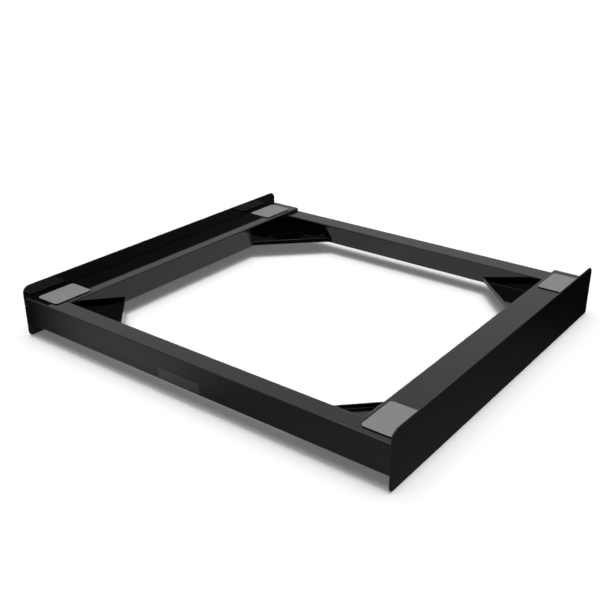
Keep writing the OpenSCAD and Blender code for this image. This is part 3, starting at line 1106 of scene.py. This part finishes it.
class STACKING_OT_studio(bpy.types.Operator):
    """Set up the white floor, the soft light, the painted reflections and the camera"""

    bl_idname = "stacking.studio"
    bl_label = "Studio"

    def execute(self, context):
        context.scene.view_settings.view_transform = "Standard"
        studio_world()
        overhead_lights()
        white_floor()
        # Painted reflections, seen only in the gloss of the frame
        gloss_cards()
        studio_camera()
        return {"FINISHED"}


class STACKING_OT_side_plates(bpy.types.Operator):
    """Build the two tall side plates"""

    bl_idname = "stacking.side_plates"
    bl_label = "Side plates"

    def execute(self, context):
        for label, side in SIDES:
            fit_piece(side_plate(label, side), f"{label}_side_plate", "gloss_black")
        return {"FINISHED"}


class STACKING_OT_rails(bpy.types.Operator):
    """Build the four open channel rails"""

    bl_idname = "stacking.rails"
    bl_label = "Rails"

    def execute(self, context):
        for label, side in SIDES:
            fit_piece(side_rail(label, side), f"{label}_side_rail", "gloss_black")
        fit_piece(front_rail(), "front_rail", "gloss_black")
        fit_piece(back_rail(), "back_rail", "gloss_black")
        return {"FINISHED"}


class STACKING_OT_corner_trays(bpy.types.Operator):
    """Build the four folded corner trays"""

    bl_idname = "stacking.corner_trays"
    bl_label = "Corner trays"

    def execute(self, context):
        for label, side, end in CORNERS:
            fit_piece(corner_tray(label, side, end), f"tray_{label}", "gloss_black")
        return {"FINISHED"}


class STACKING_OT_pads(bpy.types.Operator):
    """Build the grey grip pads with their foam, and the rubber pads underneath"""

    bl_idname = "stacking.pads"
    bl_label = "Pads"

    def execute(self, context):
        for label, _, _ in CORNERS:
            node = f"top_pad_{label}"
            face = flat_pad(f"grip_face_{label}", *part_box(node), group("pads").face_edge)
            fit_piece(face, node, "pad_grey")
            node = f"backing_{label}"
            foam = flat_pad(f"foam_{label}", *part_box(node), FOAM_EDGE, segments=2)
            fit_piece(foam, node, "pad_backing")
            node = f"foot_pad_{label}"
            fit_piece(foot_pad(f"rubber_foot_{label}", *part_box(node)), node, "foot_rubber")
        return {"FINISHED"}


class STACKING_OT_end_parts(bpy.types.Operator):
    """Build the rail caps at the back and the angle brackets at the front"""

    bl_idname = "stacking.end_parts"
    bl_label = "Caps and brackets"

    def execute(self, context):
        for label, side in SIDES:
            fit_piece(rail_cap(label, side), f"{label}_rail_cap", "black_plastic")
            fit_piece(end_bracket(label, side), f"{label}_end_bracket", "zinc")
        return {"FINISHED"}


class STACKING_OT_fasteners(bpy.types.Operator):
    """Build the tray screws and nuts, the weld studs and the flange nuts"""

    bl_idname = "stacking.fasteners"
    bl_label = "Fasteners"

    def execute(self, context):
        steel = group("sheet")
        level_rows = [(screw_points(), Z_AXIS, (0, 0, 0))]
        side_rows = [(stud_points(side), -side * X_AXIS, (0, -side * math.pi / 2, 0))
                     for _, side in SIDES]
        for name, pattern, lift, seed, slot, places in (
                ("tray_screw", tray_screw, 0, 3, "zinc", level_rows),
                ("tray_nut", tray_nut, steel.sheet + steel.tray, 5, "zinc", level_rows),
                ("weld_stud", weld_stud, 0, 7, "copper_flash", side_rows),
                ("flange_nut", flange_nut, steel.sheet, 7, "zinc", side_rows)):
            rows = [
                fastener_row([point + lift * up for point in points], pattern(), tilt, seed, slot)
                for points, up, tilt in places]
            fit_piece(joined(f"{name}_set", rows), f"{name}s", slot)
        return {"FINISHED"}


class STACKING_OT_name_plate(bpy.types.Operator):
    """Build the blank name plate on the front rail"""

    bl_idname = "stacking.name_plate"
    bl_label = "Name plate"

    def execute(self, context):
        fit_piece(name_plate(), "name_plate", "plate_satin")
        return {"FINISHED"}


OPERATORS = (
    STACKING_OT_studio, STACKING_OT_side_plates, STACKING_OT_rails, STACKING_OT_corner_trays,
    STACKING_OT_pads, STACKING_OT_end_parts, STACKING_OT_fasteners, STACKING_OT_name_plate)
GROUPS = {"sheet": SheetSizes, "fasteners": FastenerSizes, "pads": PadSizes, "finishes": Finishes,
          "studio": StudioSettings}


class STACKING_PT_panel(bpy.types.Panel):
    """Lists the sizes, the finishes and the steps that build the frame"""

    bl_idname = "STACKING_PT_panel"
    bl_label = "Stacking Frame"
    bl_space_type = "VIEW_3D"
    bl_region_type = "UI"
    bl_category = "Stacking Frame"

    def draw(self, context):
        for operator in OPERATORS:
            self.layout.operator(operator.bl_idname)
        for name in GROUPS:
            settings = group(name)
            box = self.layout.box()
            for key in settings.bl_rna.properties.keys():
                if key not in ("name", "rna_type"):
                    box.prop(settings, key)


CLASSES = (*GROUPS.values(), *OPERATORS, STACKING_PT_panel)


def register():
    for kind in CLASSES:
        bpy.utils.register_class(kind)
    for name, kind in GROUPS.items():
        setattr(bpy.types.Scene, f"stacking_{name}", PointerProperty(type=kind))


def unregister():
    for name in GROUPS:
        delattr(bpy.types.Scene, f"stacking_{name}")
    for kind in reversed(CLASSES):
        bpy.utils.unregister_class(kind)


def main():
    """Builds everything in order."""
    register()
    for operator in OPERATORS:
        section, call = operator.bl_idname.split(".")
        getattr(getattr(bpy.ops, section), call)()


if __name__ == "__main__":
    main()
